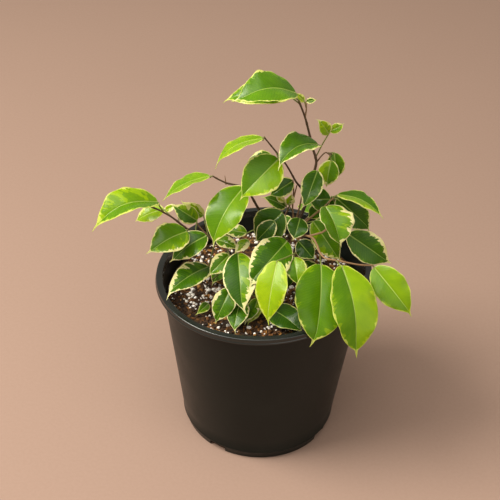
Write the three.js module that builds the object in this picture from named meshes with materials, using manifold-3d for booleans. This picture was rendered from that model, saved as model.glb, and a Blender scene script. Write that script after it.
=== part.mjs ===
// Potted weeping fig: a variegated Ficus benjamina in a black nursery pot.
// Millimetres, +Z up. The origin is the middle of the flat underside of the pot.

import * as THREE from "three";
import { mergeVertices } from "three/addons/utils/BufferGeometryUtils.js";
import Module from "manifold-3d";

const wasm = await Module();
wasm.setup();

// ---- driving dimensions ----
const potHeight = 134;
const rimRadius = 76;          // outside of the rolled rim
const baseRadius = 55.5;       // outside of the foot
const wallThickness = 1.4;
const floorThickness = 2;
const rimWidth = 5;            // flat top of the rim, from the inner wall to its outer edge
const rimDepth = 4.4;          // skirt that hangs from the rim
const footHeight = 6.5;
const footStep = 0.8;          // the foot is drawn in by this much under the wall
const rimSqueeze = 0.05;       // the soil pushes the rim slightly oval along one diagonal
const drainCount = 4;
const drainWidth = 13;
const drainHeight = 5;
const drainReach = 9;          // how far each drain slot runs in under the floor
const drainTurn = 58.5;        // degrees from +X to the first slot

const soilDrop = 17;           // soil surface below the rim
const soilMound = 2;           // the soil stands this much higher in the middle
const rootDepth = 12;          // how far the trunk and the cutting reach into the soil
const rootRise = 2;            // they leave the soil upright for this much
const clearance = 0.3;         // between pieces that touch

const drawnRimRadius = 76;     // the plant's points below are drawn for a rim of this radius
const plantScale = rimRadius / drawnRimRadius;
const stalkRadius = 0.5 * plantScale;
const leafThickness = 0.6 * plantScale;
const stemRadii = {            // at the thick end and at the thin end
  trunk: [2.4, 1.9],
  leader: [1.2, 0.6],
  upper_left_twig: [0.75, 0.45],
  arched_twig: [0.5, 0.4],
  mid_left_cane: [1.1, 0.5],
  inner_shoot: [0.6, 0.45],
  far_left_cane: [1.1, 0.5],
  low_right_cane: [0.85, 0.5],
  right_fork: [0.7, 0.5],
  high_right_cane: [0.75, 0.45],
  front_twig: [0.7, 0.5],
  back_cane: [1, 0.5],
  cutting: [1.1, 0.5],
};

// ---- how finely the curved pieces are cut ----
const potSegments = 72;
const soilSegments = 48;
const stemSides = 8;
const ringSpacing = 6 * plantScale;     // between one ring of a stem and the next
const fewestSpans = 6;                  // on a short stem
const bladePlaces = [0.06, 0.16, 0.29, 0.43, 0.57, 0.7, 0.81, 0.9];   // rings along a leaf's blade

// ---- colours ----
const finishes = {
  pot: { color: 0x1b1b1c, roughness: 0.55 },
  soil: { color: 0x3b261a, roughness: 0.95 },
  bark: { color: 0x6b4a30, roughness: 0.8 },
  leaf: { color: 0x4f8a1e, roughness: 0.4 },
  limeLeaf: { color: 0x9cc42a, roughness: 0.4 },
  darkLeaf: { color: 0x2f5a22, roughness: 0.4 },
};

const plantGroup = new THREE.Group();

function material(name) {
  return new THREE.MeshStandardMaterial({ metalness: 0, ...finishes[name] });
}

function addMesh(name, geometry, finish) {
  const mesh = new THREE.Mesh(geometry, material(finish));
  mesh.name = name;
  plantGroup.add(mesh);
}

// ---- solids for the booleans ----
function toSolid(geometry) {
  const bare = new THREE.BufferGeometry();
  bare.setAttribute("position", geometry.getAttribute("position"));
  if (geometry.index) bare.setIndex(geometry.index);
  const merged = mergeVertices(bare, 1e-4);
  return new wasm.Manifold(new wasm.Mesh({
    numProp: 3,
    vertProperties: new Float32Array(merged.getAttribute("position").array),
    triVerts: new Uint32Array(merged.index.array),
  }));
}

function toGeometry(solid) {
  const mesh = solid.getMesh();
  const geometry = new THREE.BufferGeometry();
  geometry.setAttribute("position", new THREE.BufferAttribute(mesh.vertProperties, 3));
  geometry.setIndex(new THREE.BufferAttribute(mesh.triVerts, 1));
  return geometry;
}

// A profile of [radius, height] points turned about the pot's axis.
function turned(profile, segments) {
  const points = profile.map(([radius, height]) => new THREE.Vector2(radius, height));
  const geometry = new THREE.LatheGeometry(points, segments);
  geometry.rotateX(Math.PI / 2);
  return geometry;
}

// The slight oval that the rim is pushed into, nothing at the foot and most at the rim.
function squeezed(geometry) {
  const position = geometry.getAttribute("position");
  for (let i = 0; i < position.count; i += 1) {
    const x = position.getX(i);
    const y = position.getY(i);
    const amount = rimSqueeze * position.getZ(i) / potHeight;
    position.setXY(i, x + amount * y, y + amount * x);
  }
  return geometry;
}

// ---- pot ----
const rimOverhang = rimWidth - wallThickness;

function wallRadius(height) {
  const top = rimRadius - rimOverhang;
  return THREE.MathUtils.mapLinear(height, 0, potHeight, baseRadius, top);
}

function innerRadius(height) {
  return wallRadius(height) - wallThickness;
}

function drainSlot(index) {
  const slot = new THREE.BoxGeometry(2 * drainReach, drainWidth, 2 * drainHeight);
  slot.translate(baseRadius, 0, 0);
  slot.rotateZ(THREE.MathUtils.degToRad(drainTurn + index * 360 / drainCount));
  return slot;
}

function potGeometry() {
  const edge = 0.6;            // small bevel on the rim's outer edge
  const bead = 0.7;            // bead along the bottom of the skirt
  const skirt = potHeight - rimDepth;
  const profile = [
    [0, 0],
    [baseRadius - footStep - edge, 0],
    [baseRadius - footStep, edge],
    [wallRadius(footHeight) - footStep, footHeight - footStep],
    [wallRadius(footHeight), footHeight],
    [wallRadius(skirt), skirt],
    [rimRadius - wallThickness, skirt],
    [rimRadius, skirt + bead],
    [rimRadius - edge, skirt + 2 * bead],
    [rimRadius - edge, potHeight - edge],
    [rimRadius - 2 * edge, potHeight],
    [innerRadius(potHeight) + edge, potHeight],
    [innerRadius(potHeight - edge), potHeight - edge],
    [innerRadius(potHeight / 2), potHeight / 2],
    [innerRadius(floorThickness), floorThickness],
    [0, floorThickness],
  ];
  let solid = toSolid(turned(profile, potSegments));
  for (let index = 0; index < drainCount; index += 1) {
    solid = solid.subtract(toSolid(drainSlot(index)));
  }
  return squeezed(toGeometry(solid));
}

// ---- stems ----
// The points of stems and leaves are measured from the middle of the rim's top and scale with the plant.
function plantPoint([x, y, z]) {
  return new THREE.Vector3(x, y, z).multiplyScalar(plantScale).add(new THREE.Vector3(0, 0, potHeight));
}

// A point under the soil's surface, or over it where depth is negative.
function rootPoint(x, y, depth) {
  const surface = potHeight - soilDrop;
  return new THREE.Vector3(x * plantScale, y * plantScale, surface - depth);
}

function stemRadius(stem, at) {
  return THREE.MathUtils.lerp(stem.thick, stem.thin, at) * plantScale;
}

// A closed tapered tube along the stem's curve, with a small flat cap at each end.
function stemGeometry(stem, extra = 0) {
  const sides = stemSides;
  const steps = stem.steps;
  const frames = stem.curve.computeFrenetFrames(steps, false);
  const positions = [];
  const faces = [];
  for (let step = 0; step <= steps; step += 1) {
    const at = step / steps;
    const centre = stem.curve.getPointAt(at);
    if (step === 0) centre.addScaledVector(frames.tangents[0], -extra);
    const radius = stemRadius(stem, at) + extra;
    for (let side = 0; side < sides; side += 1) {
      const angle = 2 * Math.PI * side / sides;
      const spoke = centre.clone();
      spoke.addScaledVector(frames.normals[step], radius * Math.cos(angle));
      spoke.addScaledVector(frames.binormals[step], radius * Math.sin(angle));
      positions.push(spoke.x, spoke.y, spoke.z);
    }
  }
  for (let step = 0; step < steps; step += 1) {
    for (let side = 0; side < sides; side += 1) {
      const a = step * sides + side;
      const b = step * sides + (side + 1) % sides;
      faces.push(a, b, b + sides, a, b + sides, a + sides);
    }
  }
  const last = steps * sides;
  for (let side = 1; side < sides - 1; side += 1) {
    faces.push(0, side + 1, side);
    faces.push(last, last + side, last + side + 1);
  }
  return closedGeometry(positions, faces);
}

function closedGeometry(positions, faces) {
  const geometry = new THREE.BufferGeometry();
  geometry.setAttribute("position", new THREE.Float32BufferAttribute(positions, 3));
  geometry.setIndex(faces);
  return geometry;
}

// How far along its own direction a round branch starts, so that it clears the stem it leaves.
function startDistance(parent, at, direction, radius) {
  const along = Math.abs(parent.curve.getTangentAt(at).dot(direction));
  const across = Math.sqrt(Math.max(1 - along * along, 0));
  const stemSkin = stemRadius(parent, at) + clearance;
  if (at === 1) return clearance + radius * across + stemRadius(parent, at) * across;
  return (stemSkin + radius * along) / Math.max(across, 0.3);
}

const stems = {};

function addStem(name, path) {
  const [thick, thin] = stemRadii[name];
  const curve = new THREE.CatmullRomCurve3(path, false, "centripetal");
  const steps = Math.max(Math.round(curve.getLength() / ringSpacing), fewestSpans);
  stems[name] = { curve, thick, thin, steps };
}

function stemFromSoil(name, x, y, points) {
  addStem(name, [rootPoint(x, y, rootDepth), rootPoint(x, y, -rootRise), ...points.map(plantPoint)]);
}

function branch(name, parentName, at, points) {
  const parent = stems[parentName];
  const path = points.map(plantPoint);
  const node = parent.curve.getPointAt(at);
  const direction = path[0].clone().sub(node).normalize();
  const distance = startDistance(parent, at, direction, stemRadii[name][0] * plantScale);
  path.unshift(node.addScaledVector(direction, distance));
  addStem(name, path);
}

stemFromSoil("trunk", 16, 4, [[15, 4, 0], [15, 5, 24]]);
stemFromSoil("cutting", -3, -18, [[-8, -24, -3], [-16, -30, 7], [-22, -34, 14]]);
branch("leader", "trunk", 1, [
  [21, 12, 33], [26, 18, 44], [29, 19, 64], [31, 18, 80],
  [28, 17, 90], [24, 15, 106], [21, 13, 117], [16, 10, 131],
]);
branch("upper_left_twig", "leader", 0.22, [
  [23, 17, 57], [19, 14, 64], [11, 8, 82], [5, 2, 94], [-5, -6, 112],
]);
branch("arched_twig", "leader", 0.52, [[34, 18, 84], [37, 20, 86], [40, 20, 84]]);
branch("mid_left_cane", "trunk", 0.93, [
  [4, 12, 29], [-5, 16, 38], [-14, 12, 57], [-18, 10, 62], [-29, 5, 68], [-38, 2, 75],
]);
branch("inner_shoot", "mid_left_cane", 0.08, [[12, 14, 36], [15, 16, 44], [17, 16, 53], [16, 15, 66]]);
branch("far_left_cane", "trunk", 0.78, [
  [-3, 4, 17], [-22, 2, 20], [-39, 0, 25], [-53, -4, 34], [-65, -10, 49], [-75, -14, 58], [-84, -18, 64],
]);
branch("low_right_cane", "trunk", 0.88, [
  [21, -4, 33], [31, -14, 39], [36, -25, 35], [38, -28, 34], [48, -31, 34], [63, -28, 29], [72, -24, 26],
]);
branch("right_fork", "low_right_cane", 0.3, [[38, -10, 42], [44, -6, 46], [51, -5, 43]]);
branch("high_right_cane", "trunk", 0.97, [[21, 6, 30], [27, 4, 40], [38, 0, 56], [44, 0, 64]]);
branch("front_twig", "trunk", 0.68, [[17, -5, 17], [19, -13, 24], [19, -24, 33]]);
branch("back_cane", "trunk", 0.7, [[18, 20, 12], [24, 32, 15], [30, 42, 16]]);

// ---- leaves ----
// Half of the blade's width along its length: rounded at the base, drawn out to a drip tip.
function halfWidth(s) {
  const body = s < 0.92 ? Math.sin(Math.PI * (s / 0.92) ** 0.85) ** 0.75 : 0;
  const dripTip = 0.4 * (1 - s);
  return Math.hypot(body, Math.min(dripTip, 0.12));
}

// One closed solid: a round stalk that opens into a blade with sharp edges and a shallow keel.
// at is the place on its stem, base and tip are the blade's two ends, and width is its full width.
// face is the way its upper side looks, bow how far the midrib humps up for its length,
// hump where it is highest, and fold the angle by which each half rises from the midrib.
function leafGeometry({ stem, at, base, tip, width, face, bow = 0.1, hump = 0.5, fold = 12 }) {
  const parent = stems[stem];
  const node = parent.curve.getPointAt(at);
  const foot = plantPoint(base);
  const end = plantPoint(tip);
  const stalk = foot.clone().sub(node).normalize();
  node.addScaledVector(stalk, startDistance(parent, at, stalk, stalkRadius));
  const chord = end.clone().sub(foot);
  const length = chord.length();
  const along = chord.clone().normalize();
  const facing = new THREE.Vector3(...face);
  const up = facing.addScaledVector(along, -facing.dot(along)).normalize();
  const bowPower = Math.log(0.5) / Math.log(hump);
  const rise = (s) => bow * length * Math.sin(Math.PI * s ** bowPower);
  const centre = (s) => foot.clone().addScaledVector(chord, s).addScaledVector(up, rise(s));
  const lift = THREE.MathUtils.degToRad(fold);
  const rings = [];

  function frameAt(tangent) {
    const side = tangent.clone().cross(up).normalize();
    return { side, top: side.clone().cross(tangent).normalize() };
  }

  function stalkRing(middle, tangent) {
    const { side, top } = frameAt(tangent);
    rings.push([180, 90, 0, -90].map((degrees) => {
      const angle = THREE.MathUtils.degToRad(degrees);
      const spoke = middle.clone().addScaledVector(side, stalkRadius * Math.cos(angle));
      return spoke.addScaledVector(top, stalkRadius * Math.sin(angle));
    }));
  }

  function bladeRing(s) {
    const tangent = centre(s + 0.01).sub(centre(s - 0.01)).normalize();
    const { side, top } = frameAt(tangent);
    const middle = centre(s);
    const reach = Math.max(halfWidth(s) * width * plantScale / 2, stalkRadius);
    const depth = leafThickness * (1 - 0.6 * s);
    const onBlade = (share) => middle.clone()
      .addScaledVector(side, share * reach * Math.cos(lift))
      .addScaledVector(top, Math.abs(share) * reach * Math.sin(lift));
    rings.push([onBlade(-1), middle, onBlade(1), middle.clone().addScaledVector(top, -depth)]);
  }

  stalkRing(node, stalk);
  stalkRing(node.clone().lerp(foot, 0.55), stalk);
  stalkRing(foot, stalk.clone().add(along).normalize());
  for (const s of bladePlaces) bladeRing(s);
  return loftGeometry(rings, end);
}

// Rings joined one after the other, with a flat start and a point at the end.
function loftGeometry(rings, point) {
  const count = rings[0].length;
  const positions = rings.flat().concat(point).flatMap((vertex) => vertex.toArray());
  const faces = [];
  for (let ring = 0; ring < rings.length - 1; ring += 1) {
    for (let i = 0; i < count; i += 1) {
      const a = ring * count + i;
      const b = ring * count + (i + 1) % count;
      faces.push(a, b, b + count, a, b + count, a + count);
    }
  }
  const last = (rings.length - 1) * count;
  for (let i = 0; i < count; i += 1) faces.push(last + i, last + (i + 1) % count, last + count);
  for (let i = 1; i < count - 1; i += 1) faces.push(0, i + 1, i);
  return closedGeometry(positions, faces);
}

const front = [0, -0.8, 0.6];
const frontLeft = [-0.45, -0.75, 0.5];
const frontRight = [0.45, -0.75, 0.5];
const upFront = [0, -0.4, 0.9];
const upBack = [-0.2, 0.5, 0.85];

const leavesByStem = {
  leader: [
    { at: 1, base: [14, 9, 137], tip: [-26, -8, 137], width: 28, face: [0, -0.3, 1], bow: 0.2, fold: 15 },
    { at: 0.97, base: [10, 14, 132], tip: [-34, 20, 123], width: 20, face: upFront, bow: 0.1 },
    { at: 0.66, base: [31, 9, 99], tip: [3, -13, 93], width: 24, face: [-0.2, -0.2, 1], bow: 0.22, fold: 25 },
    { at: 0.42, base: [32, 14, 75], tip: [23, -8, 57], width: 15, face: front },
    { at: 0.56, base: [38, 18, 102], tip: [29, 14, 116], width: 9, face: front },
    { at: 0.1, base: [22, 0, 45], tip: [18, -13, 35], width: 15, face: front },
  ],
  upper_left_twig: [
    { at: 1, base: [-6, -7, 112], tip: [-37, -14, 93], width: 18, face: [-0.2, 0.1, 1], bow: 0.14, fold: 8 },
    { at: 0.75, base: [5, -3, 94], tip: [-20, -25, 76], width: 26, face: front },
  ],
  arched_twig: [
    { at: 0.8, base: [43, 23, 84], tip: [46, 22, 63], width: 13, face: front },
    { at: 1, base: [41, 19, 80.5], tip: [39, 13.5, 61.5], width: 15, face: [-0.2, -0.75, 0.6], fold: 15 },
  ],
  high_right_cane: [
    { at: 1, base: [46, 0, 66], tip: [77, -14, 58], width: 17, face: [0, 0.1, 1], bow: 0.14 },
    { at: 0.93, base: [46, 4, 60], tip: [72, 3, 35], width: 20, face: front },
    { at: 0.85, base: [42, 7, 57], tip: [27, 14, 51], width: 16, face: front },
    { at: 0.8, base: [38, -6, 60], tip: [49, -27, 42], width: 29, face: [0.5, -0.65, 0.5], fold: 35 },
    { at: 0.3, base: [31, 0, 43], tip: [52, -10, 16], width: 18, face: front },
  ],
  right_fork: [
    { at: 1, base: [55, -6, 38], tip: [87, -8, 15], width: 21, face: front },
  ],
  low_right_cane: [
    { at: 1, base: [73, -25, 25], tip: [101, -44, -1], width: 23, face: front, finish: "limeLeaf" },
    {
      at: 0.66, base: [50, -36, 34], tip: [61, -76, -12], width: 35,
      face: frontRight, bow: 0.14, finish: "limeLeaf",
    },
    { at: 0.5, base: [37, -28, 28], tip: [34, -73, -7], width: 37, face: [0.2, -0.8, 0.5] },
    { at: 0.12, base: [22, -2, 27], tip: [34, -10, 17], width: 14, face: front, finish: "darkLeaf" },
  ],
  mid_left_cane: [
    { at: 1, base: [-40, 2, 75], tip: [-71, -8, 60], width: 20, face: [-0.1, 0.2, 1], finish: "limeLeaf" },
    { at: 0.72, base: [-17, 4, 66], tip: [-37, -22, 34], width: 27, face: frontLeft, bow: 0.16 },
    { at: 0.2, base: [10, 6, 45], tip: [-9, 2, 23], width: 24, face: front, finish: "darkLeaf" },
    { at: 0.12, base: [5, -1, 42], tip: [-8, -6, 27], width: 13, face: front, finish: "darkLeaf" },
    { at: 0.2, base: [-14, 18, 17], tip: [-31, 22, 15], width: 11, face: upFront },
  ],
  inner_shoot: [
    { at: 1, base: [16, 14, 66], tip: [0, 8, 56], width: 13, face: front, finish: "darkLeaf" },
  ],
  far_left_cane: [
    {
      at: 0.84, base: [-73, -15, 64], tip: [-115, -36, 53], width: 25,
      face: [0, -0.2, 1], bow: 0.24, fold: 30,
    },
    { at: 0.78, base: [-70, -6, 52], tip: [-90, -8, 42], width: 14, face: upFront, finish: "limeLeaf" },
    { at: 0.62, base: [-54, -11, 38], tip: [-80, -31, 32], width: 23, face: [0, -0.5, 0.9], bow: 0.14 },
    {
      at: 0.5, base: [-41, -8, 33], tip: [-65, -20, 17], width: 19,
      face: upFront, bow: 0.14, finish: "darkLeaf",
    },
    { at: 0.56, base: [-48, 2, 38], tip: [-66, 2, 51], width: 13, face: front, finish: "darkLeaf" },
    { at: 0.4, base: [-34, -3, 26], tip: [-18, -12, 25], width: 10, face: upFront, finish: "darkLeaf" },
    { at: 0.42, base: [-39, -9, 7], tip: [-68, -39, 3], width: 19, face: upFront, bow: 0.12 },
    { at: 0.3, base: [-19, -17, 26], tip: [-14, -52, 0], width: 23, face: front },
    { at: 0.36, base: [-25, -13, 21], tip: [-39, -26, 12], width: 13, face: front },
  ],
  trunk: [
    { at: 0.85, base: [14, -9, 32], tip: [-13, -41, 16], width: 27, face: front },
  ],
  front_twig: [
    { at: 1, base: [7, -43, 41], tip: [2, -68, 6], width: 21, face: [-0.2, -0.8, 0.5], finish: "limeLeaf" },
    { at: 0.7, base: [19, -19, 26], tip: [23, -35, 13], width: 15, face: front, finish: "limeLeaf" },
  ],
  cutting: [
    { at: 1, base: [-23, -33, 8], tip: [-33, -48, -12], width: 16, face: front },
    { at: 0.75, base: [-16, -31, -3], tip: [-20, -55, -13], width: 16, face: upFront },
    { at: 0.6, base: [-9, -27, -6], tip: [-12, -46, -13], width: 15, face: upFront },
    { at: 0.5, base: [5, -29, -12], tip: [28, -53, -12], width: 20, face: upFront, finish: "darkLeaf" },
  ],
  back_cane: [
    { at: 0.5, base: [16, 30, 18], tip: [-6, 46, 6], width: 22, face: upBack, finish: "darkLeaf" },
    { at: 0.7, base: [36, 30, 20], tip: [58, 38, 8], width: 22, face: [0.3, 0.3, 0.9], finish: "darkLeaf" },
    { at: 1, base: [32, 48, 16], tip: [36, 74, 6], width: 22, face: upBack, finish: "darkLeaf" },
  ],
};

// ---- soil ----
// A plug that fills the pot to soilDrop below the rim, with a socket for each stem that is rooted in it.
function soilGeometry() {
  const foot = floorThickness + clearance;
  const edge = potHeight - soilDrop - soilMound;
  const profile = [
    [0, foot],
    [innerRadius(foot) - clearance, foot],
    [innerRadius(edge) - clearance, edge],
    [0.7 * innerRadius(edge), edge + 0.8 * soilMound],
    [0.3 * innerRadius(edge), edge + soilMound],
    [0, edge + soilMound],
  ];
  let solid = toSolid(squeezed(turned(profile, soilSegments)));
  for (const stem of [stems.trunk, stems.cutting]) {
    solid = solid.subtract(toSolid(stemGeometry(stem, clearance)));
  }
  return toGeometry(solid);
}

addMesh("pot", potGeometry(), "pot");
addMesh("soil", soilGeometry(), "soil");
for (const [name, stem] of Object.entries(stems)) addMesh(name, stemGeometry(stem), "bark");
for (const [stem, leaves] of Object.entries(leavesByStem)) {
  leaves.forEach(({ finish = "leaf", ...leaf }, index) => {
    addMesh(`${stem}_leaf_${index + 1}`, leafGeometry({ stem, ...leaf }), finish);
  });
}

export default plantGroup;
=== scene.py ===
"""Potted weeping fig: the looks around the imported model. Metres, +Z up, origin under the pot."""

import math
import random

import bmesh
import bpy
import numpy as np
from mathutils import Matrix, Vector, noise


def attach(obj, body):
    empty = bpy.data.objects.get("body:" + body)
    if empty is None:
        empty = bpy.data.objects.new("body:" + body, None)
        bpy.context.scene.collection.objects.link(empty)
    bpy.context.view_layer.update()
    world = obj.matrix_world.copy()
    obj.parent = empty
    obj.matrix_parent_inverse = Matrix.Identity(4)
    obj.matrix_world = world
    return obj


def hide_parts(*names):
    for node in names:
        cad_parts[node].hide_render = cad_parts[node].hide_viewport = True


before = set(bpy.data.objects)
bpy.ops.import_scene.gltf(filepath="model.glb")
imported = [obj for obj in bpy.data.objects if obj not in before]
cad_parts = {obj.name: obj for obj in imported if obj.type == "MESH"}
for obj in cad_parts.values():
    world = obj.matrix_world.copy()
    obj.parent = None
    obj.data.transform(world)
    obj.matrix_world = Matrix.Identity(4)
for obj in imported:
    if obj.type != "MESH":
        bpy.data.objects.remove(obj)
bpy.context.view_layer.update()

MM = 0.001

# ---- sizes that repeat the pot's design ----
POT_HEIGHT = 134 * MM
RIM_RADIUS = 76 * MM
BASE_RADIUS = 55.5 * MM
WALL = 1.4 * MM
FLOOR = 2 * MM
RIM_WIDTH = 5 * MM
RIM_DEPTH = 4.4 * MM
FOOT_HEIGHT = 6.5 * MM
FOOT_STEP = 0.8 * MM
RIM_SQUEEZE = 0.05
DRAIN_COUNT = 4
DRAIN_WIDTH = 13 * MM
DRAIN_HEIGHT = 5 * MM
DRAIN_REACH = 9 * MM
DRAIN_TURN = 58.5
SOIL_DROP = 17 * MM
SOIL_TOP = POT_HEIGHT - SOIL_DROP
SOIL_SHEAR = RIM_SQUEEZE * SOIL_TOP / POT_HEIGHT
SOIL_MOUND = 2 * MM

STEMS = {  # bark tint: 0 is dark brown, 1 is pale orange brown
    "trunk": 0.25, "leader": 0.1, "upper_left_twig": 0.05, "arched_twig": 0.35,
    "mid_left_cane": 0.15, "inner_shoot": 0.4, "far_left_cane": 0.1, "low_right_cane": 0.9,
    "right_fork": 1.0, "high_right_cane": 0.9, "front_twig": 0.6, "back_cane": 0.3, "cutting": 0.4,
}


# ---- small mesh helpers ----
def link(obj):
    bpy.context.scene.collection.objects.link(obj)
    return obj


def make_object(name, verts, faces, materials, face_material=None):
    mesh = bpy.data.meshes.new(name)
    mesh.from_pydata([tuple(v) for v in verts], [], [tuple(f) for f in faces])
    for mat in materials:
        mesh.materials.append(mat)
    if face_material is not None:
        mesh.polygons.foreach_set("material_index", face_material)
    mesh.polygons.foreach_set("use_smooth", [True] * len(mesh.polygons))
    mesh.update()
    return link(bpy.data.objects.new(name, mesh))


def add_attribute(obj, name, rows):
    """Three numbers at each vertex, for the material to read."""
    attribute = obj.data.attributes.new(name, "FLOAT_VECTOR", "POINT")
    attribute.data.foreach_set("vector", np.asarray(rows, np.float32).ravel())


def circle(radius, height, segments, offset=0.0):
    """Places spread evenly on a level circle. offset moves them on, as a share of one step."""
    angles = [2 * math.pi * (k + offset) / segments for k in range(segments)]
    return [(radius * math.cos(angle), radius * math.sin(angle), height) for angle in angles]


def unit(v):
    length = np.linalg.norm(v, axis=-1, keepdims=True)
    return v / np.maximum(length, 1e-12)


def squeeze(points):
    """The slight oval that the rim is pushed into, nothing at the foot and most at the rim."""
    points = np.array(points, float)
    x, y = points[:, 0].copy(), points[:, 1].copy()
    amount = RIM_SQUEEZE * points[:, 2] / POT_HEIGHT
    points[:, 0] = x + amount * y
    points[:, 1] = y + amount * x
    return points


def wall_radius(height):
    top = RIM_RADIUS - RIM_WIDTH + WALL
    return BASE_RADIUS + (top - BASE_RADIUS) * height / POT_HEIGHT


def tube(points, radii, sides, swell=None):
    """Rings of vertices and faces of a closed round tube along points."""
    points = np.array(points, float)
    tangents = unit(np.gradient(points, axis=0))
    start = np.array([0.0, 0.0, 1.0])
    if abs(tangents[0] @ start) > 0.9:
        start = np.array([1.0, 0.0, 0.0])
    normal = unit(np.cross(tangents[0], start))
    verts, faces = [], []
    count = len(points)
    for i in range(count):
        normal = unit(normal - tangents[i] * (normal @ tangents[i]))
        other = np.cross(tangents[i], normal)
        for side in range(sides):
            angle = 2 * math.pi * side / sides
            radius = radii[i] * (1 if swell is None else swell[i][side])
            verts.append(points[i] + radius * (math.cos(angle) * normal + math.sin(angle) * other))
    for i in range(count - 1):
        for side in range(sides):
            a, b = i * sides + side, i * sides + (side + 1) % sides
            faces.append((a, b, b + sides, a + sides))
    faces.append(tuple(range(sides - 1, -1, -1)))
    faces.append(tuple(range((count - 1) * sides, count * sides)))
    return verts, faces


def disc_faces(k, segments, rings):
    """Step k of a disc of rings, seen from above: vertex 0 is its middle, and the rings follow it."""
    ahead = (k + 1) % segments
    faces = [(0, 1 + k, 1 + ahead)]
    for inner in range(1, 1 + (rings - 1) * segments, segments):
        outer = inner + segments
        faces.append((inner + k, outer + k, outer + ahead, inner + ahead))
    return faces


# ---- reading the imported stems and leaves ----
STEM_SIDES = 8


def merged(obj):
    bm = bmesh.new()
    bm.from_mesh(obj.data)
    bmesh.ops.remove_doubles(bm, verts=bm.verts, dist=2e-6)
    bm.verts.ensure_lookup_table()
    return bm


def layers_from(seed):
    """Sets of vertices that lie one, two, three ... edges away from seed."""
    seen = set(seed)
    layers = [list(seed)]
    while layers[-1]:
        ahead = []
        for vert in layers[-1]:
            for edge in vert.link_edges:
                other = edge.other_vert(vert)
                if other not in seen:
                    seen.add(other)
                    ahead.append(other)
        layers.append(ahead)
    return layers[:-1]


def end_ring(bm):
    """The vertices of one flat end of a stem: its triangles all share a vertex and a direction."""
    for vert in bm.verts:
        for first in vert.link_faces:
            flat = [face for face in vert.link_faces if face.normal.dot(first.normal) > 0.9999]
            ring = {corner for face in flat for corner in face.verts}
            if len(ring) == STEM_SIDES:
                return ring


def stem_path(node):
    """Centres and radii of a packed stem's rings, from its thick end to its thin end."""
    bm = merged(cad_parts[node])
    rings = [np.array([v.co for v in layer]) for layer in layers_from(end_ring(bm))]
    bm.free()
    centres = np.array([ring.mean(0) for ring in rings])
    radii = np.array([np.linalg.norm(ring - ring.mean(0), axis=1).mean() for ring in rings])
    if radii[0] < radii[-1]:
        centres, radii = centres[::-1], radii[::-1]
    return centres, radii


def leaf_rings(node):
    """A packed leaf's rings from stalk to tip, and its tip: each ring is left, middle, right, keel."""
    bm = merged(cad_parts[node])
    for vert in bm.verts:
        layers = layers_from([vert])
        if all(len(layer) == 4 for layer in layers[1:]):
            break
    rings = [np.array([v.co for v in layer]) for layer in layers[:0:-1]]
    tip = np.array(vert.co)
    bm.free()
    ordered = []
    for i, ring in enumerate(rings):
        ahead = rings[i + 1].mean(0) if i + 1 < len(rings) else tip
        tangent = unit(ahead - ring.mean(0))
        pairs = [(a, b) for a in range(4) for b in range(a)]
        left, right = max(pairs, key=lambda p: np.linalg.norm(ring[p[0]] - ring[p[1]]))
        chord = (ring[left] + ring[right]) / 2
        middle, keel = sorted(set(range(4)) - {left, right}, key=lambda k: np.linalg.norm(ring[k] - chord))
        up = ring[middle] - ring[keel]
        if np.cross(tangent, up) @ (ring[right] - ring[left]) < 0:
            left, right = right, left
        ordered.append(ring[[left, middle, right, keel]])
    return ordered, tip


STALK_RINGS = 3


def blade_of(node):
    """Stalk points, the blade's midrib and across directions as fits over 0 to 1, and its length, half width
    and lift.
    """
    rings, tip = leaf_rings(node)
    stalk = [ring.mean(0) for ring in rings[:STALK_RINGS]]
    blade = np.array(rings[STALK_RINGS:])
    foot = stalk[-1]
    chord = tip - foot
    middles = np.vstack([foot, blade[:, 1], tip])
    places = (middles - foot) @ chord / (chord @ chord)
    across = unit(blade[:, 2] - blade[:, 0])
    half = np.linalg.norm(blade[:, 2] - blade[:, 1], axis=1)
    rise = (blade[:, 0] + blade[:, 2]) / 2 - blade[:, 1]
    ups = unit(blade[:, 1] - blade[:, 3])
    widest = int(np.argmax(half))
    lift = math.atan2(rise[widest] @ ups[widest], half[widest])
    inner = places[1:-1]
    return {
        "stalk": stalk, "length": np.linalg.norm(chord),
        "middle": np.polyfit(places, middles, 5), "across": np.polyfit(inner, across, 2),
        "width": half[widest] / half_width(places[1 + widest]), "lift": lift,
    }


def blade_from(stem_point, base, tip, width, face, bow=0.1, fold=12):
    """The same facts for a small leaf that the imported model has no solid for. Millimetres."""
    base, tip = np.array(base) * MM, np.array(tip) * MM
    stem_point = np.array(stem_point) * MM
    chord = tip - base
    along = unit(chord)
    up = unit(np.array(face, float) - along * (np.array(face) @ along))
    places = np.linspace(0, 1, 9)
    rise = bow * np.linalg.norm(chord) * np.sin(math.pi * places)
    middles = base + places[:, None] * chord + rise[:, None] * up
    across = np.repeat(np.cross(along, up)[None], 9, axis=0)
    return {
        "stalk": [stem_point, (stem_point + base) / 2, base],
        "length": np.linalg.norm(chord), "middle": np.polyfit(places, middles, 5),
        "across": np.polyfit(places, across, 2), "width": width * MM / 2, "lift": math.radians(fold),
    }


def half_width(s, full=0.0):
    """Half of a blade's width along its length, as a share of the widest place, with a drawn-out drip tip.

    full is 0 for a leaf that tapers from its middle, and 1 for a broad oval one.
    """
    s = np.asarray(s, float)
    power = 0.84 + 0.11 * full
    body = np.sin(math.pi * np.clip(s / 0.91, 0, 1) ** power).clip(0) ** (0.6 + (0.42 - 0.36 * full) * s)
    return np.hypot(body, 0.15 * np.clip((1 - s) / 0.2, 0, 1))


def poly(coefficients, s):
    return sum(c[None] * (s[:, None] ** (len(coefficients) - 1 - i)) for i, c in enumerate(coefficients))


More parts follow.
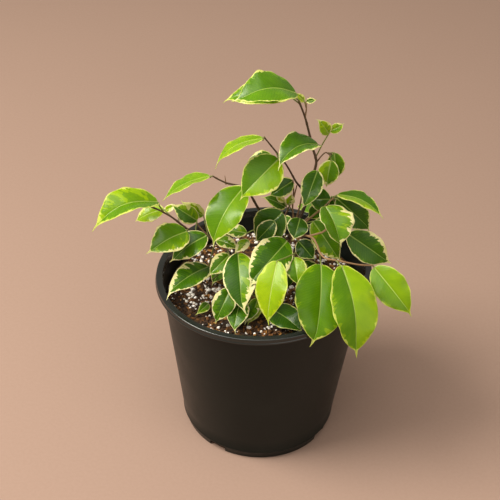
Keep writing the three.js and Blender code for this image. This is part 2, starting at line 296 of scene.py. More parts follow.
# ---- leaves ----
ROWS = 58
COLUMNS = [0.03, 0.075, 0.14, 0.22, 0.32, 0.43, 0.54, 0.65, 0.75, 0.84, 0.92, 0.97, 1.0]
BROAD_LEAF = 12.5              # half widths over this, in millimetres, belong to broad oval leaves
BROADER = 2.5                  # so much wider, a leaf is fully oval
TIP_HALF_WIDTH = 0.12 * MM
FOOT_HALF_WIDTH = 0.5 * MM
VEIN_SLANT = 0.55              # how far a side vein runs towards the tip for each step outwards
VEIN_SPACING = 3.6 * MM
QUILT_RISE = 0.02 * MM         # how far the blade swells between side veins
GROOVE_DEPTH = 0.22 * MM
MIDRIB_DEPTH = 0.4 * MM
EDGE_THICK = 0.14 * MM
MIDDLE_THICK = 0.34 * MM
STALK_SIDES = 10
STALK_STEPS = 18
STALK_PLACES = [0, 0.12, 0.3, 0.72, 1]
STALK_RADII = [0.75, 0.58, 0.5, 0.5, 0.28]      # millimetres, at those places
EDGE_WAVES = [(0.075, 1.0, 2.5, 1), (0.03, 2.3, 3, 3)]      # size, quickness, power, first phase


def blade_axes(blade, s, twist):
    """Points of the midrib at the shares s of its length, with the across and up directions there."""
    middle = poly(blade["middle"], s)
    tangent = unit(np.gradient(middle, axis=0))
    across = poly(blade["across"], s)
    across = unit(across - tangent * np.sum(across * tangent, axis=1, keepdims=True))
    up = np.cross(across, tangent)
    turn = (twist * (s - 0.3))[:, None]
    return middle, across * np.cos(turn) + up * np.sin(turn), up * np.cos(turn) - across * np.sin(turn)


def surface_height(s, u, x, q, half, lift, waves, phase):
    """How far the upper side stands off the midrib: the fold, edge waves, quilting and midrib groove."""
    a = np.abs(x)
    side = np.sign(u)[None, :]
    reach = np.abs(u)[None, :]
    height = math.sin(lift) * a * (1.12 - 0.3 * reach) - 0.05 * half[:, None] * reach ** 3
    shape = np.sin(math.pi * np.clip(s, 0, 1))[:, None]
    for size, quickness, power, first in EDGE_WAVES:
        start = np.where(side < 0, phase[first], phase[first + 1])
        ripple = np.sin(2 * math.pi * quickness * waves * s[:, None] + start)
        height += size * half[:, None] * ripple * reach ** power * shape
    quilt = np.cos(2 * math.pi * q / VEIN_SPACING + phase[5])
    fade = np.clip(a / (1.5 * MM), 0, 1) * np.clip(1 - reach ** 6, 0, 1)
    groove = np.exp(-((x / (0.5 * MM)) ** 2)) * (1 - 0.7 * s)[:, None]
    return height + QUILT_RISE * quilt * fade - GROOVE_DEPTH * groove


def shell_faces(rows, columns):
    """Faces of a thin closed shell: its upper grid of vertices comes first, and its lower grid second."""
    under = rows * columns
    index = np.arange(under).reshape(rows, columns)
    faces = []
    for i in range(rows - 1):
        for j in range(columns - 1):
            p, r = index[i, j], index[i, j + 1]
            c, d = index[i + 1, j + 1], index[i + 1, j]
            faces.append((p, r, c, d))
            faces.append((under + p, under + d, under + c, under + r))
        for j, flip in ((0, False), (columns - 1, True)):
            p, d = index[i, j], index[i + 1, j]
            edge = (p, d, under + d, under + p)
            faces.append(edge[::-1] if flip else edge)
    for i, flip in ((0, True), (rows - 1, False)):
        for j in range(columns - 1):
            p, r = index[i, j], index[i, j + 1]
            edge = (p, r, under + r, under + p)
            faces.append(edge[::-1] if flip else edge)
    return faces


def build_stalk(stalk, middle, up, blade_width, sag):
    """The stalk's tube, from inside its stem to a little way under the blade."""
    outward = unit(stalk[1] - stalk[0])
    path = [stalk[0] - outward * 1.3 * MM, stalk[0], stalk[1] - up[0] * sag]
    path += [stalk[2] - up[0] * 0.25 * MM, middle[3] - up[3] * 0.45 * MM, middle[7] - up[7] * 0.5 * MM]
    grow = 0.75 + 0.25 * min(blade_width / (12 * MM), 1.3)
    radii = np.interp(np.linspace(0, 1, STALK_STEPS), STALK_PLACES, STALK_RADII)
    return tube(smooth_path(path, STALK_STEPS), radii * grow * MM, STALK_SIDES)


def look_of(look, x):
    """Tone, pale edge and creaminess at each point, with a quick change across the midrib. Tone is the
    leaf's own green with painted light and shade: where the halves differ, one half is painted lit and the
    other painted in shade.
    """
    tone_and_light_left, edge_left, tone_and_light_right, edge_right, cream = look
    # The step in tone across the midrib is painted light and shade on the two halves of the leaf.
    blend = np.clip(x / (0.6 * MM), -1, 1) * 0.5 + 0.5
    tone = tone_and_light_left + (tone_and_light_right - tone_and_light_left) * blend
    edge = edge_left + (edge_right - edge_left) * blend
    return np.stack([tone, edge, np.full_like(x, cream)], axis=-1).reshape(-1, 3)


def add_leaf_facts(obj, seed, look, q, x, edge, s):
    """What the leaf materials read at each vertex of the upper side, the underside and then the stalk."""
    stalk_rows = np.zeros((STALK_STEPS * STALK_SIDES, 3))
    pattern = np.stack([q, x, edge], axis=-1).reshape(-1, 3) / MM
    add_attribute(obj, "pattern", np.vstack([pattern, pattern, stalk_rows]))
    looks = look_of(look, x)
    add_attribute(obj, "look", np.vstack([looks, looks, stalk_rows]))
    place = np.repeat(s, x.shape[1])
    seeds = np.full(x.size, (seed * 7.31) % 50)
    facts = [np.column_stack([seeds, np.full(x.size, under), place]) for under in (0, 1)]
    stalk_rows[:, 2] = np.repeat(np.linspace(0, 1, STALK_STEPS), STALK_SIDES)
    add_attribute(obj, "facts", np.vstack([*facts, stalk_rows]))


def build_leaf(name, blade, look, seed):
    """A thin closed leaf with its stalk. look is tone and edge of the left half, of the right, and cream;
    the tones hold painted light and shade on each half as well as the leaf's green.
    """
    rng = random.Random(seed)
    length, width = blade["length"], blade["width"]
    u = np.array([-c for c in reversed(COLUMNS)] + [0.0] + COLUMNS)
    t = np.linspace(0, 1, ROWS)
    s = 0.55 * t + 0.45 * (0.5 - 0.5 * np.cos(math.pi * t))
    middle, across, up = blade_axes(blade, s, rng.uniform(-0.12, 0.12))
    phase = [rng.uniform(0, 2 * math.pi) for _ in range(6)]
    waves = rng.uniform(1.6, 2.6)

    full = min(max((width / MM - BROAD_LEAF) / BROADER, 0), 1)
    half = np.maximum(width * half_width(s, full), TIP_HALF_WIDTH)
    half[0] = FOOT_HALF_WIDTH
    side = np.sign(u)[None, :]
    reach = np.abs(u)[None, :]
    uneven = 1 + 0.02 * np.sin(9 * s[:, None] * math.pi + phase[0] + side) * reach ** 4
    x = half[:, None] * u[None, :] * uneven
    a = np.abs(x)
    q = s[:, None] * length - VEIN_SLANT * a
    height = surface_height(s, u, x, q, half, blade["lift"], waves, phase)
    curl = np.clip((s - 0.76) / 0.24, 0, 1)[:, None] ** 2 * length
    middle = middle + across * curl * rng.uniform(-0.075, 0.075) - up * curl * rng.uniform(0.0, 0.06)

    top = middle[:, None] + across[:, None] * (x * math.cos(blade["lift"]))[..., None]
    top = top + up[:, None] * height[..., None]
    thick = (EDGE_THICK + (MIDDLE_THICK - EDGE_THICK) * (1 - reach ** 2)) * (1 - 0.4 * s)[:, None]
    rib = MIDRIB_DEPTH * np.exp(-((x / (0.55 * MM)) ** 2)) * (1 - 0.75 * s)[:, None]
    low = top - up[:, None] * (thick + rib)[..., None]

    stalk = [np.array(p) for p in blade["stalk"]]
    stalk_verts, stalk_faces = build_stalk(stalk, middle, up, width, 0.04 * length * rng.random())
    verts = np.vstack([top.reshape(-1, 3), low.reshape(-1, 3), stalk_verts])
    faces = shell_faces(*x.shape)
    kinds = [0] * len(faces) + [1] * len(stalk_faces)
    faces += [tuple(2 * x.size + k for k in face) for face in stalk_faces]
    obj = make_object(name, verts, faces, [leaf_material(), stalk_material()], kinds)
    add_leaf_facts(obj, seed, look, q, x, half[:, None] - a, s)
    return obj


def smooth_path(points, count):
    """A Catmull-Rom curve through points, at count places spread evenly over its spans."""
    points = np.array(points, float)
    ends = np.vstack([2 * points[0] - points[1], points, 2 * points[-1] - points[-2]])
    made = []
    for value in np.linspace(0, len(points) - 1, count):
        i = min(int(value), len(points) - 2)
        f = value - i
        p0, p1, p2, p3 = ends[i:i + 4]
        made.append(0.5 * (2 * p1 + (p2 - p0) * f + (2 * p0 - 5 * p1 + 4 * p2 - p3) * f ** 2
                           + (3 * p1 - p0 - 3 * p2 + p3) * f ** 3))
    return np.array(made)


# ---- material helpers ----
class Graph:
    """A short way to write a node tree."""

    def __init__(self, name):
        self.material = bpy.data.materials.new(name)
        self.material.use_nodes = True
        self.tree = self.material.node_tree
        self.shader = self.tree.nodes["Principled BSDF"]

    def node(self, kind, inputs=None, **settings):
        made = self.tree.nodes.new(kind)
        for key, value in settings.items():
            setattr(made, key, value)
        for key, value in (inputs or {}).items():
            self.feed(made.inputs[key], value)
        return made

    def feed(self, socket, value):
        if isinstance(value, bpy.types.NodeSocket):
            self.tree.links.new(value, socket)
        else:
            socket.default_value = value

    def math(self, operation, a, b=0.0, clamp=False):
        return self.node("ShaderNodeMath", {0: a, 1: b}, operation=operation, use_clamp=clamp).outputs[0]

    def times(self, a, b):
        return self.math("MULTIPLY", a, b)

    def plus(self, a, b):
        return self.math("ADD", a, b)

    def step(self, value, low, high, to_low=0.0, to_high=1.0):
        made = self.node("ShaderNodeMapRange", {0: value, 1: low, 2: high, 3: to_low, 4: to_high})
        made.interpolation_type = "SMOOTHSTEP"
        return made.outputs[0]

    def mix(self, share, a, b):
        made = self.node("ShaderNodeMix", data_type="RGBA")
        self.feed(made.inputs[0], share)
        self.feed(made.inputs[6], a)
        self.feed(made.inputs[7], b)
        return made.outputs[2]

    def noise(self, vector, scale, detail=3.0, rough=0.55):
        made = self.node("ShaderNodeTexNoise", {"Scale": scale, "Detail": detail, "Roughness": rough})
        self.feed(made.inputs["Vector"], vector)
        return made.outputs["Fac"]

    def attribute(self, name):
        made = self.node("ShaderNodeAttribute", attribute_name=name)
        split = self.node("ShaderNodeSeparateXYZ", {0: made.outputs["Vector"]})
        return made.outputs["Vector"], split.outputs

    def vector(self, x, y, z):
        return self.node("ShaderNodeCombineXYZ", {0: x, 1: y, 2: z}).outputs[0]

    def ramp(self, value, stops):
        made = self.node("ShaderNodeValToRGB", {0: value})
        elements = made.color_ramp.elements
        while len(elements) < len(stops):
            elements.new(0.5)
        for element, (place, color) in zip(elements, stops):
            element.position = place
            element.color = (*color, 1)
        return made.outputs["Color"]

    def bump(self, height, distance, strength=1.0, below=None):
        made = self.node("ShaderNodeBump", {"Height": height, "Distance": distance, "Strength": strength})
        if below is not None:
            self.feed(made.inputs["Normal"], below)
        return made.outputs["Normal"]

    def place(self):
        return self.node("ShaderNodeTexCoord").outputs["Object"]

    def shaded(self, color, rough, normal):
        """The material, once its shader has its colour, roughness and relief."""
        self.feed(self.shader.inputs["Base Color"], color)
        self.feed(self.shader.inputs["Roughness"], rough)
        self.feed(self.shader.inputs["Normal"], normal)
        return self.material


def rgb(r, g, b):
    return (r, g, b, 1.0)


made_materials = {}


def once(function):
    """Each material is made the first time that it is asked for."""
    def wrapped():
        if function.__name__ not in made_materials:
            made_materials[function.__name__] = function()
        return made_materials[function.__name__]
    return wrapped


@once
def leaf_material():
    g = Graph("fig_leaf")
    _, (q, x, edge) = g.attribute("pattern")
    _, (tone, margin, cream) = g.attribute("look")
    _, (seed, under, along) = g.attribute("facts")
    a = g.math("ABSOLUTE", x)
    side = g.times(g.math("SIGN", x), 9.0)
    shift = g.plus(seed, side)

    # Streaks run with the side veins, so the pale edge reaches in as jagged flames.
    streak = g.noise(g.vector(g.times(q, 0.34), g.times(a, 0.09), shift), 1.0, 4.0, 0.62)
    blob_place = g.vector(g.times(q, 0.085), g.times(a, 0.03), g.plus(shift, 17.0))
    blob = g.step(g.noise(blob_place, 1.0, 2.0), 0.40, 0.60, 0.06, 1.0)
    reach = g.times(g.times(margin, blob), g.step(streak, 0.3, 0.72, 0.15, 2.2))
    reach = g.plus(reach, 0.32)
    pale = g.step(g.math("SUBTRACT", edge, reach), -0.16, 0.14, 1.0, 0.0)
    inner_place = g.vector(g.times(q, 0.22), g.times(a, 0.08), g.plus(shift, 31.0))
    inner = g.noise(inner_place, 1.0, 3.0, 0.6)
    inner_reach = g.times(margin, g.step(inner, 0.42, 0.74, 0.2, 5.5))
    halfway = g.step(g.math("SUBTRACT", edge, inner_reach), -0.4, 0.6, 1.0, 0.0)

    cloud = g.noise(g.vector(g.times(q, 0.11), g.times(x, 0.11), seed), 1.0, 2.0)
    # tone is the leaf's own green with painted light and shade: one half painted lighter as if lit, the
    # other darker as if shaded.
    toned = g.plus(tone, g.times(g.math("SUBTRACT", cloud, 0.5), 0.22))
    toned = g.plus(toned, g.times(halfway, 0.16))
    green = g.ramp(toned, [
        (0.0, (0.010, 0.042, 0.002)), (0.25, (0.034, 0.108, 0.0025)), (0.5, (0.095, 0.225, 0.002)),
        (0.75, (0.27, 0.42, 0.002)), (1.0, (0.46, 0.57, 0.003)),
    ])
    pale_color = g.mix(cream, rgb(0.46, 0.56, 0.06), rgb(0.82, 0.78, 0.36))
    color = g.mix(pale, green, pale_color)

    # Midrib and side veins.
    width = g.times(g.math("SUBTRACT", 1.12, along), 0.55)
    rib = g.step(g.math("DIVIDE", a, width), 0.45, 1.1, 1.0, 0.0)
    rib_color = g.mix(g.times(tone, 0.8), rgb(0.22, 0.34, 0.06), rgb(0.58, 0.66, 0.16))
    color = g.mix(g.times(rib, 0.75), color, rib_color)
    wobble = g.noise(g.vector(g.times(a, 0.5), q, seed), 0.6, 1.0)
    beat = g.math("SINE", g.plus(g.times(q, 3.4), g.times(wobble, 5.0)))
    vein = g.step(beat, 0.72, 1.0)
    color = g.mix(g.times(vein, 0.07), color, rgb(0.34, 0.46, 0.03))
    fine = g.noise(g.vector(q, x, seed), 5.0, 3.0)
    color = g.mix(g.step(fine, 0.35, 0.7, 0.0, 0.16), color, rgb(0.02, 0.06, 0.008))

    # The underside is paler and duller.
    back = g.mix(0.45, color, rgb(0.28, 0.36, 0.13))
    color = g.mix(under, color, back)
    rough = g.step(fine, 0.2, 0.8, 0.18, 0.3)
    rough = g.math("ADD", rough, g.times(under, 0.25), clamp=True)
    relief = g.bump(g.times(vein, -1.0), 0.03 * MM, 0.35)
    relief = g.bump(fine, 0.04 * MM, 0.5, relief)
    g.shader.inputs["Specular IOR Level"].default_value = 0.25
    g.shader.inputs["Subsurface Weight"].default_value = 0.25
    g.shader.inputs["Subsurface Radius"].default_value = (0.9, 1.2, 0.25)
    g.shader.inputs["Subsurface Scale"].default_value = 1.2 * MM
    return g.shaded(color, rough, relief)


@once
def stalk_material():
    g = Graph("fig_stalk")
    _, (_, _, along) = g.attribute("facts")
    grain = g.noise(g.place(), 900.0, 3.0)
    color = g.ramp(along, [
        (0.0, (0.13, 0.10, 0.035)), (0.35, (0.20, 0.24, 0.05)), (1.0, (0.33, 0.43, 0.09)),
    ])
    color = g.mix(g.step(grain, 0.35, 0.75, 0.0, 0.35), color, rgb(0.08, 0.07, 0.02))
    return g.shaded(color, g.step(grain, 0.2, 0.8, 0.4, 0.6), g.bump(grain, 0.05 * MM, 0.5))


@once
def bark_material():
    g = Graph("fig_bark")
    _, (along, around, tint) = g.attribute("bark")
    stretched = g.vector(g.times(along, 0.12), around, tint)
    fibre = g.noise(stretched, 2.6, 4.0, 0.65)
    speck = g.noise(g.vector(along, g.times(around, 1.4), 3.0), 0.9, 2.0)
    dark = g.mix(fibre, rgb(0.030, 0.017, 0.010), rgb(0.095, 0.052, 0.028))
    light = g.mix(fibre, rgb(0.20, 0.105, 0.045), rgb(0.42, 0.245, 0.115))
    color = g.mix(tint, dark, light)
    color = g.mix(g.step(speck, 0.62, 0.72, 0.0, 0.55), color, rgb(0.36, 0.27, 0.17))
    rough = g.step(fibre, 0.2, 0.8, 0.5, 0.8)
    relief = g.bump(fibre, 0.18 * MM, 0.7)
    relief = g.bump(g.step(speck, 0.6, 0.72), 0.12 * MM, 0.6, relief)
    return g.shaded(color, rough, relief)


@once
def plastic_material():
    g = Graph("black_plastic")
    place = g.place()
    _, (_, _, height) = g.attribute("place")
    grain = g.noise(place, 1600.0, 3.0)
    smudge = g.noise(place, 26.0, 4.0, 0.6)
    stretched = g.node("ShaderNodeMapping", {"Vector": place, "Scale": (55.0, 55.0, 900.0)}).outputs[0]
    turning = g.noise(stretched, 1.0, 2.0)
    dust = g.times(g.step(smudge, 0.42, 0.75), g.step(grain, 0.35, 0.7, 0.4, 1.0))
    color = g.mix(g.times(dust, 0.22), rgb(0.0046, 0.0073, 0.0058), rgb(0.035, 0.039, 0.032))
    rough = g.plus(g.step(smudge, 0.3, 0.75, 0.30, 0.42), g.step(grain, 0.2, 0.8, -0.03, 0.05))
    skirt, below_skirt = POT_HEIGHT - RIM_DEPTH, POT_HEIGHT - 1.3 * RIM_DEPTH
    rough = g.times(rough, g.step(height, below_skirt, skirt, 1.0, 0.62))
    relief = g.bump(grain, 0.07 * MM, 0.7)
    relief = g.bump(turning, 0.05 * MM, 0.35, relief)
    g.feed(g.shader.inputs["Specular IOR Level"], g.step(height, below_skirt, skirt, 0.2, 0.75))
    return g.shaded(color, rough, relief)


@once
def soil_material():
    g = Graph("potting_mix")
    place = g.place()
    coarse = g.noise(place, 260.0, 4.0, 0.65)
    fine = g.noise(place, 1100.0, 4.0, 0.7)
    color = g.ramp(coarse, [
        (0.25, (0.006, 0.003, 0.001)), (0.46, (0.026, 0.011, 0.003)), (0.6, (0.08, 0.033, 0.007)),
        (0.8, (0.20, 0.085, 0.015)),
    ])
    color = g.mix(g.step(fine, 0.6, 0.78, 0.0, 0.45), color, rgb(0.17, 0.09, 0.035))
    rough = g.step(fine, 0.2, 0.8, 0.75, 1.0)
    relief = g.bump(coarse, 1.0 * MM, 0.8)
    relief = g.bump(fine, 0.35 * MM, 0.9, relief)
    return g.shaded(color, rough, relief)


@once
def chip_material():
    g = Graph("bark_chip")
    _, (shade, _, _) = g.attribute("grain")
    place = g.place()
    fibre = g.noise(place, 700.0, 4.0, 0.7)
    color = g.ramp(shade, [
        (0.0, (0.012, 0.006, 0.002)), (0.35, (0.060, 0.024, 0.005)), (0.7, (0.22, 0.082, 0.012)),
        (1.0, (0.46, 0.21, 0.038)),
    ])
    color = g.mix(g.step(fibre, 0.35, 0.7, 0.0, 0.6), color, rgb(0.020, 0.010, 0.006))
    return g.shaded(color, g.step(fibre, 0.2, 0.8, 0.65, 0.9), g.bump(fibre, 0.4 * MM, 0.8))


@once
def perlite_material():
    g = Graph("perlite")
    _, (shade, _, _) = g.attribute("grain")
    place = g.place()
    pores = g.noise(place, 1500.0, 3.0, 0.7)
    stain = g.noise(place, 330.0, 2.0)
    color = g.mix(shade, rgb(0.90, 0.85, 0.76), rgb(1.0, 0.98, 0.94))
    color = g.mix(g.step(stain, 0.55, 0.72, 0.0, 0.55), color, rgb(0.30, 0.20, 0.12))
    color = g.mix(g.step(pores, 0.3, 0.5, 0.35, 0.0), color, rgb(0.36, 0.30, 0.24))
    return g.shaded(color, g.step(pores, 0.2, 0.8, 0.7, 0.95), g.bump(pores, 0.25 * MM, 0.8))


@once
def floor_material():
    g = Graph("studio_floor")
    place = g.place()
    tooth = g.noise(place, 420.0, 4.0, 0.6)
    cloud = g.noise(place, 2.2, 2.0)
    color = g.mix(cloud, rgb(0.335, 0.224, 0.172), rgb(0.365, 0.244, 0.188))
    color = g.mix(g.step(tooth, 0.3, 0.75, 0.0, 0.10), color, rgb(0.25, 0.17, 0.125))
    return g.shaded(color, g.step(tooth, 0.2, 0.8, 0.8, 0.95), g.bump(tooth, 0.15 * MM, 0.4))


# ---- pot ----
def arc(centre, radius, start, end, steps):
    """Points of a round edge, angles in degrees."""
    angles = [math.radians(start + (end - start) * i / steps) for i in range(steps + 1)]
    return [(centre[0] + radius * math.cos(v), centre[1] + radius * math.sin(v)) for v in angles]


def pot_profile():
    """The pot's section as radius and height, from the underside's middle to the middle of the floor."""
    skirt = POT_HEIGHT - RIM_DEPTH
    foot = BASE_RADIUS - FOOT_STEP
    round_edge = 0.7 * MM
    bead = 0.75 * MM
    rim = RIM_RADIUS - 0.45 * MM
    outer_round, inner_round = 0.8 * MM, 0.7 * MM
    points = [(0, 0), (0.45 * foot, 0), (0.93 * foot, 0)]
    points += arc((foot - round_edge, round_edge), round_edge, -90, 0, 4)
    top = FOOT_HEIGHT
    points += [(wall_radius(top) - FOOT_STEP, top - 1.6 * FOOT_STEP)]
    points += arc((wall_radius(top) - 0.35 * MM, top - 0.2 * MM), 0.3 * MM, -60, 30, 3)
    points.append((wall_radius(top + 0.9 * MM) + 0.4 * MM, top + 0.9 * MM))
    points.append((wall_radius(top + 2 * MM), top + 2 * MM))
    for share in np.linspace(0.1, 0.97, 12):
        height = top + (skirt - top) * share
        points.append((wall_radius(height), height))
    points += [(wall_radius(skirt), skirt - 0.2 * MM), (RIM_RADIUS - 2.2 * MM, skirt)]
    points += arc((RIM_RADIUS - bead, skirt + bead), bead, -100, 60, 6)
    points += [(rim, skirt + 2.1 * bead)]
    points += arc((rim - outer_round, POT_HEIGHT - outer_round), outer_round, 0, 90, 5)
    inner = wall_radius(POT_HEIGHT) - WALL
    points += arc((inner + inner_round, POT_HEIGHT - inner_round), inner_round, 90, 180, 4)
    for share in np.linspace(0.92, 0.03, 12):
        height = FLOOR + (POT_HEIGHT - FLOOR) * share
        points.append((wall_radius(height) - WALL, height))
    points += [(wall_radius(FLOOR) - 1.6 * WALL, FLOOR), (0.5 * foot, FLOOR), (0, FLOOR)]
    return points


def turned(profile, segments):
    """Vertices and faces of a profile turned about Z, its two ends on the axis."""
    verts = [(0, 0, profile[0][1])]
    for radius, height in profile[1:-1]:
        verts += circle(radius, height, segments)
    verts.append((0, 0, profile[-1][1]))
    faces = []
    last = len(verts) - 1
    for k in range(segments):
        ahead = (k + 1) % segments
        faces.append((0, 1 + ahead, 1 + k))
        end = last - segments
        faces.append((end + k, end + ahead, last))
        for ring in range(len(profile) - 3):
            start = 1 + ring * segments
            faces.append((start + k, start + ahead, start + segments + ahead, start + segments + k))
    return verts, faces


POT_SEGMENTS = 220
DRAIN_ROUND = 1.6 * MM
SHARP_EDGE = math.radians(38)


def drain_cutter(index):
    """A rounded box that cuts one drain slot through the foot."""
    bm = bmesh.new()
    bmesh.ops.create_cube(bm, size=1)
    bmesh.ops.scale(bm, vec=(2 * DRAIN_REACH, DRAIN_WIDTH, 2 * DRAIN_HEIGHT), verts=bm.verts)
    bmesh.ops.bevel(bm, geom=[e for e in bm.edges if abs(e.verts[0].co.x - e.verts[1].co.x) > 1e-4],
                    offset=DRAIN_ROUND, segments=4, affect="EDGES", profile=0.5)
    angle = math.radians(DRAIN_TURN + index * 360 / DRAIN_COUNT)
    place = Matrix.Rotation(angle, 4, "Z") @ Matrix.Translation((BASE_RADIUS, 0, 0))
    bmesh.ops.transform(bm, matrix=place, verts=bm.verts)
    mesh = bpy.data.meshes.new(f"drain_{index}")
    bm.to_mesh(mesh)
    bm.free()
    return link(bpy.data.objects.new(mesh.name, mesh))


def build_pot():
    verts, faces = turned(pot_profile(), POT_SEGMENTS)
    pot = make_object("pot_shell", verts, faces, [plastic_material()])
    cutters = [drain_cutter(index) for index in range(DRAIN_COUNT)]
    for cutter in cutters:
        cut = pot.modifiers.new("drain", "BOOLEAN")
        cut.object = cutter
        cut.solver = "EXACT"
    bpy.context.view_layer.update()
    cut_mesh = bpy.data.meshes.new_from_object(pot.evaluated_get(bpy.context.evaluated_depsgraph_get()))
    pot.modifiers.clear()
    pot.data = cut_mesh
    for cutter in cutters:
        bpy.data.objects.remove(cutter)
    coords = squeeze([v.co for v in cut_mesh.vertices])
    cut_mesh.vertices.foreach_set("co", coords.ravel())
    cut_mesh.polygons.foreach_set("use_smooth", [True] * len(cut_mesh.polygons))
    cut_mesh.set_sharp_from_angle(angle=SHARP_EDGE)
    cut_mesh.update()
    add_attribute(pot, "place", coords)
    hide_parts("pot")
    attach(pot, "root")


# ---- soil, bark chips and perlite ----
def soil_height(x, y):
    """Height of the soil's surface: a low mound with hollows and crumbs."""
    inner = wall_radius(SOIL_TOP) - WALL
    share = min(math.hypot(x, y) / inner, 1)
    base = SOIL_TOP - SOIL_MOUND * share ** 3
    point = Vector((x, y, 0.31))
    rolling = 1.1 * noise.noise(point * 38) + 0.5 * noise.noise(point * 95)
    crumbs = 0.75 * abs(noise.noise(point * 260)) + 0.35 * noise.noise(point * 640)
    return base + (rolling + crumbs - 0.4) * MM


def oval(x, y):
    """A place on the soil, moved as the rim's oval moves it."""
    return x + SOIL_SHEAR * y, y + SOIL_SHEAR * x


SOIL_GAP = 0.25 * MM
SOIL_FOOT_GAP = 0.3 * MM


def build_soil():
    rings, segments = 78, 260
    radius = wall_radius(SOIL_TOP) - WALL - SOIL_GAP
    verts = [(0, 0, soil_height(0, 0))]
    for ring in range(1, rings + 1):
        share = (ring / rings) ** 0.9
        for x, y, _ in circle(radius * share, 0, segments, 0.5 * (ring % 2)):
            x, y = oval(x, y)
            verts.append((x, y, soil_height(x, y)))
    foot = wall_radius(FLOOR) - WALL - SOIL_FOOT_GAP
    bottom = FLOOR + SOIL_FOOT_GAP
    verts += circle(foot, bottom, segments, 0.5 * (rings % 2))
    verts.append((0, 0, bottom))
    faces = []
    last = len(verts) - 1
    foot_start = last - segments
    for k in range(segments):
        faces += disc_faces(k, segments, rings + 1)
        faces.append((foot_start + k, last, foot_start + (k + 1) % segments))
    soil = make_object("soil_surface", verts, faces, [soil_material()])
    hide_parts("soil")
    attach(soil, "root")


CLUMP_PLACE = 152              # which slice of the noise the thick and thin patches of grains come from
CLUMP_SCALE = 42
MOST_TILT = 0.5                # radians
EDGE_GAP = 0.4 * MM
MOST_TRIES = 30                # for each grain that is wanted


def scatter(name, count, sizes, shape, mat, seed, sink, gap, thinnest=1.0):
    """Many small grains lying on the soil, as one object. shape gives one grain's vertices and faces.

    sizes are the least, the most and the commonest, in millimetres. sink is how far a grain's middle lies
    above the soil, and gap how near two grains may be, as shares of their sizes. thinnest is the share of
    tries that are kept where grains are sparse.
    """
    rng = random.Random(seed)
    inner = wall_radius(SOIL_TOP) - WALL
    verts, faces, shades, placed = [], [], [], []
    tries = 0
    while len(placed) < count and tries < count * MOST_TRIES:
        tries += 1
        size = rng.triangular(*sizes) * MM
        distance = (inner - 0.7 * size - EDGE_GAP) * math.sqrt(rng.random())
        angle = rng.uniform(0, 2 * math.pi)
        x, y = oval(distance * math.cos(angle), distance * math.sin(angle))
        clump = 0.5 + 1.4 * noise.noise(Vector((x * CLUMP_SCALE, y * CLUMP_SCALE, CLUMP_PLACE)))
        if rng.random() > thinnest + (1 - thinnest) * clump:
            continue
        if any((x - px) ** 2 + (y - py) ** 2 < (gap * (size + other)) ** 2 for px, py, other in placed):
            continue
        placed.append((x, y, size))
        turn = Matrix.Rotation(rng.uniform(0, 6.28), 3, "Z")
        tilt = Matrix.Rotation(rng.uniform(-MOST_TILT, MOST_TILT), 3, "X")
        tilt = tilt @ Matrix.Rotation(rng.uniform(-MOST_TILT, MOST_TILT), 3, "Y")
        own_verts, own_faces = shape(rng, size)
        centre = Vector((x, y, soil_height(x, y) + sink * size))
        offset = len(verts)
        verts += [centre + turn @ tilt @ Vector(v) for v in own_verts]
        faces += [tuple(offset + k for k in face) for face in own_faces]
        shades += [rng.random()] * len(own_verts)
    obj = make_object(name, verts, faces, [mat])
    zeros = np.zeros(len(shades))
    add_attribute(obj, "grain", np.column_stack([shades, zeros, zeros]))
    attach(obj, "root")


def ball(subdivisions):
    bm = bmesh.new()
    bmesh.ops.create_icosphere(bm, subdivisions=subdivisions, radius=0.5)
    verts = [v.co.copy() for v in bm.verts]
    faces = [tuple(v.index for v in f.verts) for f in bm.faces]
    bm.free()
    return verts, faces


BALL = ball(3)
SMALL_BALL = ball(2)
BIG_GRAIN = 2.4 * MM
ANYWHERE = [(-50, 50)] * 3     # where a grain's own noise may start


def random_vector(rng, ranges):
    return Vector([rng.uniform(least, most) for least, most in ranges])


def perlite_grain(rng, size):
    verts, faces = BALL if size > BIG_GRAIN else SMALL_BALL
    offset = random_vector(rng, ANYWHERE)
    stretch = random_vector(rng, [(0.85, 1.25), (0.75, 1.05), (0.65, 0.95)])
    made = []
    for v in verts:
        lump = 1 + 0.55 * noise.noise(v * 3.0 + offset) + 0.3 * noise.noise(v * 6.5 + offset)
        made.append(Vector((v.x * stretch.x, v.y * stretch.y, v.z * stretch.z)) * lump * size)
    return made, faces


CHIP_GROWTH = 1.5              # a chip is a ball made so much larger, with flats this far from its middle
CHIP_FLAT = 0.42


def bark_chip(rng, size):
    verts, faces = SMALL_BALL
    offset = random_vector(rng, ANYWHERE)
    stretch = random_vector(rng, [(0.9, 1.3), (0.35, 0.75), (0.18, 0.4)])
    made = []
    for v in verts:
        squared = Vector([math.copysign(min(abs(c) * CHIP_GROWTH, CHIP_FLAT), c) for c in v])
        lump = 1 + 0.35 * noise.noise(v * 3.1 + offset) + 0.16 * noise.noise(v * 8 + offset)
        made.append(Vector([squared[i] * stretch[i] for i in range(3)]) * lump * size)
    return made, faces


# ---- stems ----
BARK_SIDES = 16
BARK_STEP = 0.9 * MM
NODE_SPACING = 11 * MM
NODE_SWELL = 0.22
NODE_WIDTH = 0.09
REACH_STEPS = 80
MOST_REACH = 3 * MM
ROOT_SWELL = 1.05
SHOOT_TINT = 0.75


